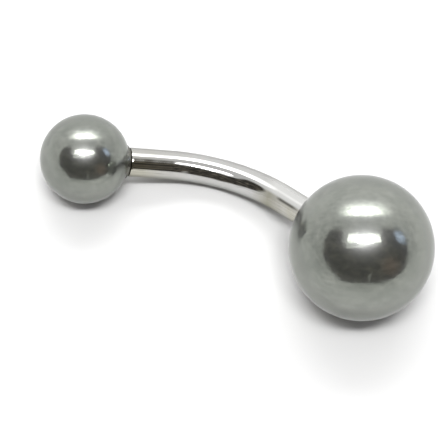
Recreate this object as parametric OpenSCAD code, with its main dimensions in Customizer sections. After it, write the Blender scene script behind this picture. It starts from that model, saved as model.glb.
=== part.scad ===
// Curved navel bar with two pearl-finished balls, in the pose in which it rests on a flat surface.
// Each ball is bonded on a threaded sleeve, and the sleeve screws onto a post at the bar's end.

/* [Bar] */
// Diameter of the bar
bar_d = 1.63; // [1.3:0.01:2]
// Straight distance between the two shoulders, on the inner side of the bend
wear_len = 10; // [8:0.5:12]
// Radius of the bend at the bar's centre line
bend_r = 6.9; // [6:0.1:12]
// Length of the straight stretch at each end of the bar
straight = 2.3; // [0.5:0.1:3]
// Chamfer on the edge of each shoulder
shoulder_chamfer = 0.08; // [0.02:0.01:0.15]

/* [Posts] */
// Diameter over the thread of each post
post_d = 1.2; // [0.9:0.05:1.35]
// Length of each post from its shoulder
post_len = 2.4; // [1.6:0.1:3]
// Chamfer on the tip of each post
post_chamfer = 0.15; // [0.05:0.05:0.3]

/* [Sleeves] */
// Outer diameter of each sleeve
sleeve_d = 1.9; // [1.85:0.05:2.6]
// How far a ball's surface would stand off its shoulder if the ball had no hole
standoff = 0.02; // [0.01:0.01:0.3]
// Depth of a sleeve's bore past the tip of its post
tip_room = 0.2; // [0.1:0.05:0.4]

/* [Balls] */
// Diameter of the small ball, worn above the navel
small_d = 5; // [4:0.5:6]
// Diameter of the large ball, worn in the navel
large_d = 8; // [6:0.5:10]

/* [Clearances] */
// Radial clearance of a post in its sleeve
thread_gap = 0.03; // [0.01:0.01:0.08]
// Radial clearance of a sleeve in its ball
bond_gap = 0.02; // [0.01:0.01:0.05]
// Gap between a sleeve's rim and its shoulder, and between a sleeve's end and the bottom of its hole
face_gap = 0.02; // [0.01:0.01:0.05]

/* [Hidden] */
$fn = 96;

bar_r = bar_d / 2;
small_r = small_d / 2;
large_r = large_d / 2;
sleeve_len = post_len + tip_room;
// What a cut reaches past the face that it starts from, and a straight end into the bend
overrun = 0.1;
// The straight ends are this much larger in radius than the bend, so that they close round its ends
end_step = 0.005;
LEFT = -1;
RIGHT = 1;

// Half of the bend's angle, at which the inner edges of the shoulders lie wear_len apart
inner_r = bend_r - bar_r;
half_bend = asin(wear_len / 2 / norm([inner_r, straight])) - atan2(straight, inner_r);

// Flat frame: the bend's centre is the origin, the bend lies in XY and its middle is at +Y.
// The point on a bar end's axis that lies the given length past the end of the bend
function on_end_axis(side, along) = [
    side * (bend_r * sin(half_bend) + along * cos(half_bend)),
    bend_r * cos(half_bend) - along * sin(half_bend)
];
small_centre = on_end_axis(LEFT, straight + standoff + small_r);
large_centre = on_end_axis(RIGHT, straight + standoff + large_r);
span = norm(large_centre - small_centre);
along_span = (large_centre - small_centre) / span;
across_span = [-along_span.y, along_span.x];

// At rest both balls and the middle of the bend touch the ground.
// climb raises the span at the large ball, and tip lowers the bend's middle onto the ground.
climb = asin((large_r - small_r) / span);
bend_along = -small_centre * along_span;
bend_below = small_centre * across_span;
rise = small_r - bar_r + bend_along * sin(climb);
reach_sq = pow(cos(climb), 2) * (pow(bend_r, 2) - pow(bend_below, 2));
lever = rise * bend_below * cos(climb);
spread = pow(lever, 2) - reach_sq * (pow(bend_r * sin(climb), 2) - pow(rise, 2));
tip = asin(min(1, (lever + sqrt(max(0, spread))) / reach_sq));

// The origin is the middle of the outer box, on the ground
level_span = span * cos(climb);
widest_r = max(small_r, large_r);
bend_side = (bend_r - bend_below) * cos(tip) + bar_r;
middle_x = (min(-small_r, level_span - large_r) + max(small_r, level_span + large_r)) / 2;
middle_y = (max(widest_r, bend_side) - widest_r) / 2;

// Carries the flat frame into the rest pose
module at_rest() {
    translate([-middle_x, -middle_y, small_r])
        rotate([0, -climb, 0])
        rotate([-tip, 0, 0])
        rotate([0, 0, -atan2(along_span.y, along_span.x)])
        translate([-small_centre.x, -small_centre.y, 0])
        children();
}

// Puts +Z along a bar end's axis, pointing away from the bar, with its shoulder at z = 0
module at_shoulder(side) {
    foot = on_end_axis(side, straight);
    at_rest()
        translate([foot.x, foot.y, 0])
        rotate([0, 90, side == RIGHT ? -half_bend : 180 + half_bend])
        children();
}

module bend() {
    at_rest()
        rotate([0, 0, 90 - half_bend])
        rotate_extrude(angle = 2 * half_bend)
        translate([bend_r, 0])
        circle(r = bar_r);
}

// The straight end of the bar with its shoulder, and the post that carries the thread
module bar_end(side) {
    end_r = bar_r + end_step;
    post_r = post_d / 2;
    at_shoulder(side)
        rotate_extrude()
        polygon([
            [0, -straight - overrun],
            [end_r, -straight - overrun],
            [end_r, -shoulder_chamfer],
            [bar_r - shoulder_chamfer, 0],
            [post_r, 0],
            [post_r, post_len - post_chamfer],
            [post_r - post_chamfer, post_len],
            [0, post_len]
        ]);
}

module bar() {
    color("silver") {
        bend();
        bar_end(LEFT);
        bar_end(RIGHT);
    }
}

// A tube round the post. Its rim narrows to the bar's own diameter where it meets the shoulder.
module sleeve(side) {
    outer_r = sleeve_d / 2;
    bore_r = post_d / 2 + thread_gap;
    taper = outer_r - bar_r;
    color("dimgray")
        at_shoulder(side)
        rotate_extrude()
        polygon([
            [bore_r, face_gap],
            [bar_r, face_gap],
            [outer_r, face_gap + taper],
            [outer_r, sleeve_len],
            [bore_r, sleeve_len]
        ]);
}

module ball(side, r) {
    color([0.57, 0.59, 0.56])
        at_shoulder(side)
        difference() {
            translate([0, 0, standoff + r])
                sphere(r = r);
            translate([0, 0, -overrun])
                cylinder(r = sleeve_d / 2 + bond_gap, h = sleeve_len + face_gap + overrun);
        }
}

module small_sleeve() {
    sleeve(LEFT);
}

module large_sleeve() {
    sleeve(RIGHT);
}

module small_ball() {
    ball(LEFT, small_r);
}

module large_ball() {
    ball(RIGHT, large_r);
}

bar();
small_sleeve();
large_sleeve();
small_ball();
large_ball();
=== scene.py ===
import math

import bmesh
import bpy
from mathutils import Matrix, Vector


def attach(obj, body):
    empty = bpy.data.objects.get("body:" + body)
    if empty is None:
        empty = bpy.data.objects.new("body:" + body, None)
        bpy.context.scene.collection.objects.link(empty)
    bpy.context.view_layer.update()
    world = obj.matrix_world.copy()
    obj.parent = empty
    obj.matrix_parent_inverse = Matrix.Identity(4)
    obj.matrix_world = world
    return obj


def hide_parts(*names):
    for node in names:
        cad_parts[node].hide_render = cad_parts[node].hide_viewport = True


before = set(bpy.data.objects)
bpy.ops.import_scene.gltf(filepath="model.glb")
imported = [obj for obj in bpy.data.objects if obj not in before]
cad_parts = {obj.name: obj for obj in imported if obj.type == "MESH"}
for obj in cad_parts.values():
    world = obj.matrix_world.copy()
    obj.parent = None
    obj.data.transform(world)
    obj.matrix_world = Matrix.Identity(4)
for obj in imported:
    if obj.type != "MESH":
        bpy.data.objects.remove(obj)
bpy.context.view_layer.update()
mm = 0.001  # sizes below are in millimetres, and a finished mesh is brought to metres


# camera

cameraLook = {
    "target": (-0.6960, -0.3851, 1.7911),  # the point that it looks at
    "azimuth": 21.780,
    "elevation": 65.563,
    "distance": 180.30,
    "lens": 265.78,
    "sensor": 36,
    "clip": (10, 20000),
}

azimuth, elevation = math.radians(cameraLook["azimuth"]), math.radians(cameraLook["elevation"])
toCamera = Vector((math.sin(azimuth) * math.cos(elevation),
                   -math.cos(azimuth) * math.cos(elevation),
                   math.sin(elevation)))
cameraRight = Vector((math.cos(azimuth), math.sin(azimuth), 0))
cameraUp = toCamera.cross(cameraRight)

cameraData = bpy.data.cameras.new("camera")
cameraData.lens = cameraLook["lens"]
cameraData.sensor_width = cameraLook["sensor"]
cameraData.clip_start, cameraData.clip_end = (reach * mm for reach in cameraLook["clip"])
camera = bpy.data.objects.new("camera", cameraData)
bpy.context.scene.collection.objects.link(camera)
cameraPlace = (Vector(cameraLook["target"]) + toCamera * cameraLook["distance"]) * mm
cameraAxes = Matrix((cameraRight, cameraUp, toCamera)).transposed()
camera.matrix_world = Matrix.Translation(cameraPlace) @ cameraAxes.to_4x4()
bpy.context.scene.camera = camera
bpy.context.scene.view_settings.view_transform = "Standard"
print("camera placed")


# shader maths

class Wire:
    # wraps a socket of a shader tree; sums made with it add their own nodes
    def __init__(self, tree, socket=None):
        self.tree = tree
        self.socket = socket

    def node(self, kind, settings=None, inputs=None, output=0):
        made = self.tree.nodes.new("ShaderNode" + kind)
        for name, value in (settings or {}).items():
            setattr(made, name, value)
        for name, value in (inputs or {}).items():
            if isinstance(value, Wire):
                self.tree.links.new(value.socket, made.inputs[name])
            else:
                made.inputs[name].default_value = value
        return Wire(self.tree, made.outputs[output] if len(made.outputs) else None)

    def math(self, operation, *values, clamp=False):
        return self.node("Math", {"operation": operation, "use_clamp": clamp}, dict(enumerate(values)))

    def vector(self, operation, *values, output=0):
        return self.node("VectorMath", {"operation": operation}, dict(enumerate(values)), output)

    def mix(self, factor, first, second, blend="MIX"):
        # 6 and 7 are the colour sockets of a Mix node
        settings = {"data_type": "RGBA", "blend_type": blend}
        return self.node("Mix", settings, {0: factor, 6: first, 7: second}, 2)

    def noise(self, place, scale, detail, roughness):
        inputs = {"Vector": place, "Scale": scale, "Detail": detail, "Roughness": roughness}
        return self.node("TexNoise", inputs=inputs)

    def bump(self, height, depth, under=None):
        # depth in millimetres; under is the bump that this one lies on
        inputs = {"Strength": 1.0, "Distance": depth * mm, "Height": height}
        if under is not None:
            inputs["Normal"] = under
        return self.node("Bump", inputs=inputs)

    def ramp(self, start, stop):
        # 0 at start, 1 at stop
        return self.math("DIVIDE", self - start, stop - start, clamp=True)

    def rampMm(self, start, stop):
        return self.ramp(start * mm, stop * mm)

    def atLeast(self, least):
        # a mask that falls no lower than least
        return self * (1 - least) + least

    def __add__(self, other):
        return self.math("ADD", self, other)

    def __radd__(self, other):
        return self.math("ADD", other, self)

    def __sub__(self, other):
        return self.math("SUBTRACT", self, other)

    def __rsub__(self, other):
        return self.math("SUBTRACT", other, self)

    def __mul__(self, other):
        return self.math("MULTIPLY", self, other)

    def __rmul__(self, other):
        return self.math("MULTIPLY", other, self)

    def __truediv__(self, other):
        return self.math("DIVIDE", self, other)

    def __rtruediv__(self, other):
        return self.math("DIVIDE", other, self)

    def __abs__(self):
        return self.math("ABSOLUTE", self)


def grey(value):
    return (value, value, value, 1)


# studio: a pale floor in an even white room, with two soft boxes and a dark side where the viewer stands

studio = {
    "floorSize": 4000,
    "floorTone": 0.55,
    "floorRoughness": 0.9,
    "floorGloss": 0.1,
    "roomTone": 1.04,
    "gapTone": 0.88,
    "backTone": 1.25,
    "darkTone": (0.050, 0.048, 0.043, 1),
    "mottleTone": (0.250, 0.225, 0.185, 1),
    "warmTone": (0.30, 0.22, 0.18, 1),
    "blueTone": (1.7, 1.95, 2.7, 1),
    "hazeTone": 1.6,
    "farBoxTone": 11.0,
    "streakTone": 1.8,
    "nearBoxTone": 6.0,
    "nearCoreTone": 64.0,
}

# A direction is placed where a mirror ball would show it from the photo's side, from -1 to 1 across
# and upward. An edge is where something starts to show and where it shows in full.
roomPlan = {
    "darkMiddle": (0.03, -0.06),
    "darkHalf": (0.575, 0.42),
    "darkPower": 2.5,  # 2 is an ellipse, more is squarer
    "darkEdge": (1.10, 0.90),
    "darkTopEdge": (0.32, 0.22),
    "cornerPoint": (-0.50, -0.16),  # a slanting cut takes the dark side's lower left corner off
    "cornerSlope": (0.76, 0.65),
    "cornerEdge": (-0.06, -0.01),
    "mottleNoise": (16.0, 4.0, 0.65),
    "mottleEdge": (0.45, 0.68),
    "blueMiddle": (0.50, 0.145),
    "blueSlope": (0.64, 0.77),
    "blueSpread": (0.0090, 0.0022),
    "blueEdge": (1.7, 0.0),
    "backEdge": (0.35, 0.60),
    "backMiddle": -0.1,
    "backSideEdge": (0.95, 0.55),
    "farMiddle": 0.02,
    "farSideEdge": (0.41, 0.13),
    "farTopEdge": (0.665, 0.50),
    "farBottomEdge": (0.422, 0.475),
    "nearBottomEdge": (0.076, 0.090),
    "speckShare": 0.5,
    "hazeShare": 0.7,
}

# middle, half its size, corner radius and fade of each box with round corners
roomBoxes = {
    "gap": ((-0.015, 0.25), (0.245, 0.20), 0.06, 0.04),
    "warmth": ((0.38, -0.24), (0.05, 0.06), 0.05, 0.10),
    "speck": ((0.085, -0.40), (0.004, 0.04), 0.004, 0.025),
    "haze": ((0.03, 0.46), (0.34, 0.02), 0.02, 0.06),
    "streak": ((-0.095, 0.028), (0.12, 0.012), 0.012, 0.012),
    "near": ((0.0155, 0.1125), (0.2155, 0.0700), 0.05, 0.018),
    "nearCore": ((0.02, 0.105), (0.10, 0.02), 0.015, 0.02),
}

bpy.ops.object.select_all(action="DESELECT")
bpy.ops.mesh.primitive_plane_add(size=studio["floorSize"] * mm, location=(0, 0, 0))
floor = bpy.context.object
floor.name = "floor"
floorMaterial = bpy.data.materials.new("paleFloor")
floorMaterial.use_nodes = True
floorShader = floorMaterial.node_tree.nodes["Principled BSDF"]
floorShader.inputs["Base Color"].default_value = grey(studio["floorTone"])
floorShader.inputs["Roughness"].default_value = studio["floorRoughness"]
floorShader.inputs["Specular IOR Level"].default_value = studio["floorGloss"]
floor.data.materials.append(floorMaterial)

world = bpy.data.worlds.new("studioRoom")
world.use_nodes = True
world.node_tree.nodes.clear()
bpy.context.scene.world = world
room = Wire(world.node_tree)
direction = room.node("TexCoord")
halfway = room.vector("NORMALIZE", room.vector("ADD", direction, tuple(toCamera)))
across = room.vector("DOT_PRODUCT", halfway, tuple(cameraRight), output="Value")
upward = room.vector("DOT_PRODUCT", halfway, tuple(cameraUp), output="Value")


def softBox(middle, half, corner, fade):
    sideways = room.math("MAXIMUM", abs(across - middle[0]) - (half[0] - corner), 0.0)
    endways = room.math("MAXIMUM", abs(upward - middle[1]) - (half[1] - corner), 0.0)
    reach = room.math("SQRT", sideways * sideways + endways * endways)
    return reach.ramp(corner + fade, corner)


def fromPoint(name):
    return across - roomPlan[name][0], upward - roomPlan[name][1]


darkAcross, darkUpward = (
    room.math("POWER", abs(distance) / half, roomPlan["darkPower"])
    for distance, half in zip(fromPoint("darkMiddle"), roomPlan["darkHalf"]))
cornerAcross, cornerUpward = fromPoint("cornerPoint")
cornerDepth = cornerAcross * roomPlan["cornerSlope"][0] + cornerUpward * roomPlan["cornerSlope"][1]
dark = (darkAcross + darkUpward).ramp(*roomPlan["darkEdge"]) * cornerDepth.ramp(*roomPlan["cornerEdge"])
dark = dark * upward.ramp(*roomPlan["darkTopEdge"])

blueAcross, blueUpward = fromPoint("blueMiddle")
cosine, sine = roomPlan["blueSlope"]
blueLong, blueShort = blueAcross * cosine - blueUpward * sine, blueAcross * sine + blueUpward * cosine
blueReach = (blueLong * blueLong / roomPlan["blueSpread"][0]
             + blueShort * blueShort / roomPlan["blueSpread"][1])
blueLight = blueReach.ramp(*roomPlan["blueEdge"])

mottle = room.noise(halfway, *roomPlan["mottleNoise"])
back = (upward.ramp(*roomPlan["backEdge"])
        * abs(across - roomPlan["backMiddle"]).ramp(*roomPlan["backSideEdge"]))
farSide = abs(across - roomPlan["farMiddle"]).ramp(*roomPlan["farSideEdge"])
farTop = upward.ramp(*roomPlan["farTopEdge"])
farBox = farSide * farSide * farTop * farTop * upward.ramp(*roomPlan["farBottomEdge"])
nearBox = softBox(*roomBoxes["near"]) * upward.ramp(*roomPlan["nearBottomEdge"])
nearCore = softBox(*roomBoxes["nearCore"])
nearTone = room.mix(nearCore, grey(studio["nearBoxTone"]), grey(studio["nearCoreTone"]))
gap = softBox(*roomBoxes["gap"])

shade = room.mix(mottle.ramp(*roomPlan["mottleEdge"]), studio["darkTone"], studio["mottleTone"])
shade = room.mix(softBox(*roomBoxes["warmth"]), shade, studio["warmTone"])
shade = room.mix(softBox(*roomBoxes["speck"]) * roomPlan["speckShare"], shade, grey(studio["roomTone"]))
wall = room.mix(back, grey(studio["roomTone"]), grey(studio["backTone"]))
wall = room.mix(gap, wall, grey(studio["gapTone"]))
lit = room.mix(dark * (1 - gap), wall, shade)
lit = room.mix(blueLight, lit, studio["blueTone"])
lit = room.mix(softBox(*roomBoxes["haze"]) * roomPlan["hazeShare"], lit, grey(studio["hazeTone"]))
lit = room.mix(farBox, lit, grey(studio["farBoxTone"]))
lit = room.mix(softBox(*roomBoxes["streak"]), lit, grey(studio["streakTone"]))
lit = room.mix(nearBox, lit, nearTone)
background = room.node("Background", inputs={"Color": lit, "Strength": 1.0})
room.node("OutputWorld", inputs={"Surface": background})
print("studio lit")


# where the pieces lie

layout = {
    "bendRadius": 6.9,
    "straight": 2.3,
    "wearLength": 10.0,
    "barRadius": 0.815,
    "standoff": 0.02,
    "faceGap": 0.02,
    "smallRadius": 2.5,
    "largeRadius": 4.0,
    "tip": 40.6540,  # how far the bend lies over, in degrees
    "climb": 5.2126,  # how far the large ball raises its end, in degrees
}

innerRadius = layout["bendRadius"] - layout["barRadius"]
halfBend = (math.asin(layout["wearLength"] / 2 / math.hypot(innerRadius, layout["straight"]))
            - math.atan2(layout["straight"], innerRadius))


def onEndAxis(side, along):
    # flat frame: the bend's centre is the origin and its middle is at +Y; side is -1 left and 1 right
    return Vector((side * (layout["bendRadius"] * math.sin(halfBend) + along * math.cos(halfBend)),
                   layout["bendRadius"] * math.cos(halfBend) - along * math.sin(halfBend), 0))


smallCentre = onEndAxis(-1, layout["straight"] + layout["standoff"] + layout["smallRadius"])
largeCentre = onEndAxis(1, layout["straight"] + layout["standoff"] + layout["largeRadius"])
span = largeCentre - smallCentre
levelSpan = span.length * math.cos(math.radians(layout["climb"]))
middleX = (levelSpan + layout["largeRadius"] - layout["smallRadius"]) / 2
restFrame = (Matrix.Translation((-middleX, 0, layout["smallRadius"]))
             @ Matrix.Rotation(-math.radians(layout["climb"]), 4, "Y")
             @ Matrix.Rotation(-math.radians(layout["tip"]), 4, "X")
             @ Matrix.Rotation(-math.atan2(span.y, span.x), 4, "Z")
             @ Matrix.Translation(-smallCentre))


def endFrame(side):
    # +Z runs outward along a bar end's axis, from its shoulder
    swing = -halfBend if side > 0 else math.pi + halfBend
    return (Matrix.Translation(onEndAxis(side, layout["straight"]))
            @ Matrix.Rotation(swing, 4, "Z") @ Matrix.Rotation(math.pi / 2, 4, "Y"))


# finishes

def startFinish(name):
    finish = bpy.data.materials.new(name)
    finish.use_nodes = True
    finish.node_tree.nodes.clear()
    return finish, Wire(finish.node_tree)


def closeFinish(wire, inputs):
    shader = wire.node("BsdfPrincipled", inputs=inputs)
    wire.node("OutputMaterial", inputs={"Surface": shader})


def placeOnBar(wire, place, stretch):
    # where a point lies in the flat frame, and the course of the lines that drawing leaves along the bar
    axes = [tuple(row) for row in restFrame.to_3x3().transposed()]
    fromOrigin = wire.vector("SUBTRACT", place, tuple(restFrame.translation * mm))
    flatX, flatY, flatZ = (wire.vector("DOT_PRODUCT", fromOrigin, axis, output="Value") for axis in axes)
    sideX = abs(flatX)
    sine, cosine = math.sin(halfBend), math.cos(halfBend)
    pastBend = wire.math("GREATER_THAN", sideX * cosine - flatY * sine, 0.0)
    bent = wire.math("SQRT", sideX * sideX + flatY * flatY)
    radial = bent + pastBend * (sideX * sine + flatY * cosine - bent)
    course = wire.node("CombineXYZ", inputs={"X": radial, "Y": flatZ, "Z": sideX * stretch})
    return flatX, flatZ, course


def paintedSheenAndMarks(wire, tone, marks, flatX, flatZ, innerSide):
    # painted highlight: a lighter outer side near the bar's right end; also a beige spot on the inner side
    # and a short dark stroke there
    paintedSheen = flatX.rampMm(*marks["paintedSheenEdge"]) * (1 - innerSide)
    tone = wire.mix(paintedSheen, tone, marks["paintedSheenTone"])
    beigeSpot = abs(flatX - marks["beigeSpotPlace"] * mm).rampMm(marks["beigeSpotReach"], 0)
    tone = wire.mix(beigeSpot * innerSide, tone, marks["beigeSpotTint"], "MULTIPLY")
    stroke = abs(flatZ - marks["strokePlace"] * mm).rampMm(marks["strokeReach"], 0)
    stroke = stroke * flatX.rampMm(*marks["strokeStart"]) * flatX.rampMm(*marks["strokeStop"])
    return wire.mix(stroke * marks["strokeDepth"], tone, marks["strokeTone"])


def steelFinish(look):
    finish, wire = startFinish(look["name"])
    place = wire.node("TexCoord", output="Object")
    flatX, flatZ, course = placeOnBar(wire, place, look["drawStretch"])
    cloud = wire.noise(place, *look["cloudNoise"])
    ripple = wire.noise(place, *look["rippleNoise"])
    draw = wire.noise(course, *look["drawNoise"])
    scratch = wire.noise(place, *look["scratchNoise"])
    nearEnd = abs(flatX).rampMm(*look["tintEdge"])
    innerSide = flatZ.rampMm(*look["innerEdge"])

    tone = wire.mix(cloud, look["toneLow"], look["toneHigh"])
    # painted reflection: a patchy beige tint near each end, mostly on the inner side
    patch = cloud.ramp(*look["patchEdge"]).atLeast(look["patchLeast"])
    tint = nearEnd * patch * innerSide.atLeast(look["outerTint"])
    tone = wire.mix(tint, tone, look["paintedEndTint"], "MULTIPLY")
    line = nearEnd.atLeast(look["middleLines"]) * innerSide.atLeast(look["outerLines"])
    line = line * abs(draw - 0.5).ramp(look["lineWidth"], 0)
    tone = wire.mix(line * look["lineDepth"], tone, look["lineTone"])
    if "marks" in look:
        tone = paintedSheenAndMarks(wire, tone, look["marks"], flatX, flatZ, innerSide)

    roughness = look["roughness"] + (scratch - 0.5) * look["roughnessSpread"]
    normal = wire.bump(ripple, look["rippleHeight"])
    normal = wire.bump((draw - 0.5) * innerSide.atLeast(look["outerDraw"]), look["drawHeight"], normal)
    normal = wire.bump(scratch, look["scratchHeight"], normal)
    closeFinish(wire, {"Base Color": tone, "Metallic": 1.0, "Roughness": roughness, "Normal": normal,
                       "Specular Tint": look["edgeTone"]})
    return finish


def pearlFinish(look):
    finish, wire = startFinish(look["name"])
    place = wire.node("TexCoord", output="Object")
    turned = wire.node("Mapping", {"vector_type": "POINT"},
                       {"Vector": place, "Rotation": (0.0, 0.0, -look["brushTurn"])})
    brushed = wire.vector("MULTIPLY", turned, look["brushShape"])
    cloud = wire.noise(place, *look["cloudNoise"])
    brush = wire.noise(brushed, *look["brushNoise"])
    grain = wire.noise(place, *look["grainNoise"])

    patch = cloud + brush * look["brushShare"] + grain * look["grainShare"]
    tone = wire.mix(patch.ramp(*look["patchEdge"]), look["toneLow"], look["toneHigh"])
    roughness = look["roughness"] + (grain - 0.5) * look["roughnessSpread"]
    normal = wire.bump(cloud, look["peelHeight"])
    normal = wire.bump(brush, look["brushHeight"], normal)
    normal = wire.bump(grain, look["grainHeight"], normal)
    closeFinish(wire, {"Base Color": tone, "Metallic": look["metallic"], "Roughness": roughness,
                       "Normal": normal, "Specular Tint": look["edgeTone"], "Coat Weight": look["coat"],
                       "Coat Roughness": look["coatRoughness"], "Coat IOR": look["coatIor"]})
    return finish


# A noise is its scale in features per metre, its detail and its roughness. Lengths are in millimetres.
# An outer value is what is left on the bar's outer side, as a share of the inner side's.
polishedSteel = steelFinish({
    "name": "polishedSteel",
    "toneLow": (0.46, 0.455, 0.44, 1),
    "toneHigh": (0.53, 0.53, 0.52, 1),
    "edgeTone": (0.55, 0.55, 0.54, 1),
    # painted reflection: the beige tint near the ends
    "paintedEndTint": (0.88, 0.86, 0.75, 1),
    "tintEdge": (2.2, 4.4),
    "innerEdge": (0.46, 0.34),
    "outerTint": 0.4,
    "cloudNoise": (900.0, 3.0, 0.5),
    "patchEdge": (0.26667, 0.6),
    "patchLeast": 0.3,
    "roughness": 0.05,
    "roughnessSpread": 0.04,
    "rippleNoise": (900.0, 1.0, 0.5),
    "rippleHeight": 0.011,
    "drawNoise": (4200.0, 2.0, 0.6),
    "drawStretch": 0.04,  # scale along the bar as a share of the scale across it
    "drawHeight": 0.007,
    "outerDraw": 0.4,
    "lineWidth": 0.018,
    "lineDepth": 0.45,
    "lineTone": (0.10, 0.10, 0.085, 1),
    "middleLines": 0.2,
    "outerLines": 0.2,
    "scratchNoise": (9000.0, 2.0, 0.7),
    "scratchHeight": 0.0001,
    # painted highlight: the lighter outer side near the right end, with a beige spot and a dark stroke
    "marks": {
        "paintedSheenEdge": (2.2, 2.9),
        "paintedSheenTone": (0.60, 0.60, 0.585, 1),
        "beigeSpotPlace": 2.7,
        "beigeSpotReach": 1.1,
        "beigeSpotTint": (0.66, 0.65, 0.56, 1),
        "strokePlace": 0.33,
        "strokeReach": 0.11,
        "strokeStart": (3.15, 3.45),
        "strokeStop": (4.8, 4.3),
        "strokeDepth": 0.95,
        "strokeTone": (0.05, 0.048, 0.04, 1),
    },
})
turnedSteel = steelFinish({
    "name": "turnedSteel",
    "toneLow": (0.16, 0.16, 0.145, 1),
    "toneHigh": (0.22, 0.22, 0.20, 1),
    "edgeTone": (0.5, 0.5, 0.5, 1),
    "paintedEndTint": (1.0, 0.985, 0.95, 1),
    "tintEdge": (3.0, 5.0),
    "innerEdge": (0.46, 0.34),
    "outerTint": 0.4,
    "cloudNoise": (900.0, 3.0, 0.5),
    "patchEdge": (0.26667, 0.6),
    "patchLeast": 0.3,
    "roughness": 0.25,
    "roughnessSpread": 0.10,
    "rippleNoise": (3000.0, 1.0, 0.5),
    "rippleHeight": 0.0012,
    "drawNoise": (4200.0, 2.0, 0.6),
    "drawStretch": 0.04,
    "drawHeight": 0.001,
    "outerDraw": 0.4,
    "lineWidth": 0.02,
    "lineDepth": 0.3,
    "lineTone": (0.10, 0.10, 0.085, 1),
    "middleLines": 0.2,
    "outerLines": 0.2,
    "scratchNoise": (9000.0, 2.0, 0.7),
    "scratchHeight": 0.0004,
})
greyPearl = pearlFinish({
    "name": "greyPearl",
    "toneLow": (0.117, 0.130, 0.108, 1),
    "toneHigh": (0.208, 0.220, 0.190, 1),
    "edgeTone": (0.40, 0.41, 0.39, 1),
    "metallic": 0.92,
    "roughness": 0.075,
    "roughnessSpread": 0.06,
    "coat": 1.0,
    "coatRoughness": 0.33,
    "coatIor": 1.8,
    "cloudNoise": (420.0, 4.0, 0.6),
    "peelHeight": 0.022,
    "brushTurn": 0.35,
    "brushShape": (0.12, 1.0, 1.0),
    "brushNoise": (4600.0, 3.0, 0.6),
    "brushHeight": 0.0035,
    "brushShare": 0.7,
    "grainNoise": (4200.0, 2.0, 0.5),
    "grainHeight": 0.003,
    "grainShare": 0.6,
    "patchEdge": (0.93261, 1.36739),
})
print("finishes made")


# modelling steps

slack = 0.001  # how far a point may lie off a ring or a wall and still count as on it
mergeDistance = 0.0002


def startPiece(name):
    piece = bpy.context.object
    piece.name = piece.data.name = name
    bpy.ops.object.transform_apply(location=True, rotation=True, scale=True)
    bpy.ops.object.mode_set(mode="EDIT")
    bpy.ops.mesh.select_mode(type="VERT")
    return piece


def pick(piece, test):
    # selects the points that pass the test, with the edges and faces between them
    mesh = bmesh.from_edit_mesh(piece.data)
    for part in (*mesh.faces, *mesh.edges):
        part.select = False
    for point in mesh.verts:
        point.select = bool(test(point.co))
    mesh.select_flush(True)
    bmesh.update_edit_mesh(piece.data)


def pullRing(place, start, stations):
    # carries the selected ring through (radius, height) stations of the frame place
    radius, height = start
    for nextRadius, nextHeight in stations:
        step = place.to_3x3() @ Vector((0, 0, nextHeight - height))
        bpy.ops.mesh.extrude_region_move(TRANSFORM_OT_translate={"value": step})
        if nextRadius != radius:
            size = nextRadius / radius
            middle = place @ Vector((0, 0, nextHeight))
            bpy.ops.transform.resize(value=(size, size, size), center_override=middle)
        radius, height = nextRadius, nextHeight


def cutThread(piece, place, thread):
    # the wall between the thread's ends is cut into rings, which follow its helix and run out at both ends
    inward = place.inverted()

    def onWall(point, spare):
        spot = inward @ point.co
        return (thread["start"] - spare < spot.z < thread["stop"] + spare
                and abs(spot.xy.length - thread["radius"]) < slack)

    bpy.ops.mesh.select_all(action="DESELECT")
    bpy.ops.mesh.select_mode(type="EDGE")
    mesh = bmesh.from_edit_mesh(piece.data)
    for edge in mesh.edges:
        low, high = edge.verts
        rise = abs((inward @ low.co).z - (inward @ high.co).z)
        edge.select = onWall(low, slack) and onWall(high, slack) and rise > thread["pitch"]
    bmesh.update_edit_mesh(piece.data)
    rings = int((thread["stop"] - thread["start"]) / thread["pitch"] * thread["ringsPerTurn"])
    bpy.ops.mesh.subdivide(number_cuts=rings)
    bpy.ops.mesh.select_mode(type="VERT")
    mesh = bmesh.from_edit_mesh(piece.data)
    for point in mesh.verts:
        if not onWall(point, -slack):
            continue
        spot = inward @ point.co
        phase = (spot.z / thread["pitch"] - math.atan2(spot.y, spot.x) / math.tau) % 1
        cut = min(1, max(0, (abs(phase - 0.5) * 2 - thread["flat"]) / (1 - 2 * thread["flat"])))
        nearestEnd = min(spot.z - thread["start"], thread["stop"] - spot.z)
        runOut = min(1, nearestEnd / thread["pitch"])
        size = 1 + thread["depth"] * cut * runOut / thread["radius"]
        point.co = place @ Vector((spot.x * size, spot.y * size, spot.z))
    bmesh.update_edit_mesh(piece.data)


def closePiece(piece, place, finish, smoothAngle=35):
    # merges what meets, turns the faces outward and brings the mesh to metres and into the rest pose
    bpy.ops.mesh.select_all(action="SELECT")
    bpy.ops.mesh.remove_doubles(threshold=mergeDistance)
    bpy.ops.mesh.normals_make_consistent(inside=False)
    bpy.ops.object.mode_set(mode="OBJECT")
    piece.matrix_world = Matrix.Scale(mm, 4) @ restFrame @ place
    bpy.ops.object.transform_apply(location=True, rotation=True, scale=True)
    bpy.ops.object.shade_smooth_by_angle(angle=math.radians(smoothAngle))
    piece.data.materials.append(finish)
    bpy.ops.object.select_all(action="DESELECT")


# bar

bar = {
    "sides": 96,
    "bendSteps": 96,
    "endRing": 1.0,  # rings round the straight end, before the shoulder and before its chamfer
    "edgeRing": 0.03,
    "chamfer": 0.08,
    "chamferRound": 0.023,
    "postRadius": 0.6,
    "postLength": 2.4,
    "postChamfer": 0.15,
    "tipRadius": 0.2,
    "thread": {"start": 0.12, "stop": 2.25, "radius": 0.6, "depth": -0.09, "pitch": 0.25,
               "flat": 0.12, "ringsPerTurn": 10},
}

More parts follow.
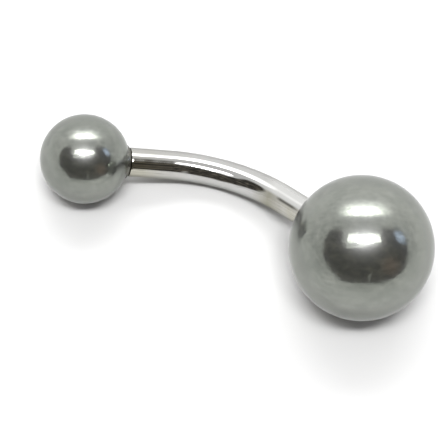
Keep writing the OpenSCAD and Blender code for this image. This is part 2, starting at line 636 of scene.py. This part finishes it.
bpy.ops.mesh.primitive_circle_add(vertices=bar["sides"], radius=layout["barRadius"], fill_type="NOTHING",
                                  location=onEndAxis(-1, 0), rotation=(0, math.pi / 2, halfBend))
curvedBar = startPiece("curvedBar")
bpy.ops.mesh.select_all(action="SELECT")
bpy.ops.mesh.spin(steps=bar["bendSteps"], angle=2 * halfBend, center=(0, 0, 0), axis=(0, 0, 1))
for side in (-1, 1):
    place = endFrame(side)
    inward = place.inverted()
    pick(curvedBar, lambda co: (abs((inward @ co).z + layout["straight"]) < slack
                                and (inward @ co).xy.length < layout["barRadius"] + slack))
    pullRing(place, (layout["barRadius"], -layout["straight"]), [
        (layout["barRadius"], -bar["endRing"]),
        (layout["barRadius"], -bar["chamfer"] - bar["edgeRing"]),
        (layout["barRadius"], -bar["chamfer"]),
        (layout["barRadius"] - bar["chamferRound"], -bar["chamferRound"]),
        (layout["barRadius"] - bar["chamfer"], 0),
        (bar["postRadius"], 0),
        (bar["postRadius"], bar["thread"]["start"]),
        (bar["postRadius"], bar["thread"]["stop"]),
        (bar["postRadius"] - bar["postChamfer"], bar["postLength"]),
        (bar["tipRadius"], bar["postLength"]),
    ])
    bpy.ops.mesh.edge_face_add()
    cutThread(curvedBar, place, bar["thread"])
closePiece(curvedBar, Matrix(), polishedSteel)
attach(curvedBar, "bar")
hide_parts("bar")
print("bar made")


# sleeves

sleeve = {
    "sides": 96,
    "radius": 0.95,
    "boreRadius": 0.63,
    "length": 2.6,
    "rimRound": (0.02, 0.012),  # inward and upward from the rim's outer edge
    "taperRound": (0.02, 0.01),  # down the taper and up the wall from where they meet
    "endChamfer": 0.05,
    "thread": {"start": 0.15, "stop": 2.5, "radius": 0.63, "depth": 0.08, "pitch": 0.25,
               "flat": 0.12, "ringsPerTurn": 8},
}


def makeSleeve(name, side, body):
    rim, radius, bore = layout["faceGap"], sleeve["radius"], sleeve["boreRadius"]
    rimIn, rimUp = sleeve["rimRound"]
    taperDown, taperUp = sleeve["taperRound"]
    taperEnd = rim + radius - layout["barRadius"]
    bpy.ops.mesh.primitive_circle_add(vertices=sleeve["sides"], radius=bore, fill_type="NOTHING",
                                      location=(0, 0, rim))
    piece = startPiece(name)
    bpy.ops.mesh.select_all(action="SELECT")
    pullRing(Matrix(), (bore, rim), [
        (layout["barRadius"] - rimIn, rim),
        (layout["barRadius"], rim + rimUp),
        (radius - taperDown, taperEnd - taperDown),
        (radius, taperEnd + taperUp),
        (radius, sleeve["length"] - sleeve["endChamfer"]),
        (radius - sleeve["endChamfer"], sleeve["length"]),
        (bore, sleeve["length"]),
        (bore, sleeve["thread"]["stop"]),
        (bore, sleeve["thread"]["start"]),
        (bore, rim),
    ])
    bpy.ops.mesh.select_all(action="SELECT")
    bpy.ops.mesh.remove_doubles(threshold=mergeDistance)
    cutThread(piece, Matrix(), sleeve["thread"])
    closePiece(piece, endFrame(side), turnedSteel)
    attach(piece, body)
    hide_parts(body)


makeSleeve("smallSleeveTube", -1, "small_sleeve")
makeSleeve("largeSleeveTube", 1, "large_sleeve")
print("sleeves made")


# balls

ball = {
    "segments": 144,
    "rings": 96,
    "holeRadius": 0.97,
    "holeEdge": 0.03,
    "holeRound": 0.009,
    "holeDepth": 2.62,
    "holeFloor": 0.3,
}


def makeBall(name, side, radius, body):
    middle = layout["standoff"] + radius
    mouth = ball["holeRadius"] + ball["holeEdge"]
    mouthHeight = middle - math.sqrt(radius ** 2 - mouth ** 2)
    bpy.ops.mesh.primitive_uv_sphere_add(segments=ball["segments"], ring_count=ball["rings"], radius=radius,
                                         location=(0, 0, middle))
    piece = startPiece(name)
    bpy.ops.mesh.select_all(action="SELECT")
    bpy.ops.mesh.bisect(plane_co=(0, 0, mouthHeight), plane_no=(0, 0, 1), clear_inner=True, threshold=0.00001)
    pick(piece, lambda co: abs(co.z - mouthHeight) < slack)
    pullRing(Matrix(), (mouth, mouthHeight), [
        (ball["holeRadius"] + ball["holeRound"], mouthHeight + ball["holeRound"]),
        (ball["holeRadius"], mouthHeight + ball["holeEdge"]),
        (ball["holeRadius"], ball["holeDepth"]),
        (ball["holeFloor"], ball["holeDepth"]),
    ])
    bpy.ops.mesh.edge_face_add()
    closePiece(piece, endFrame(side), greyPearl)
    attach(piece, body)
    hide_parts(body)


makeBall("smallPearlBall", -1, layout["smallRadius"], "small_ball")
makeBall("largePearlBall", 1, layout["largeRadius"], "large_ball")
print("balls made")
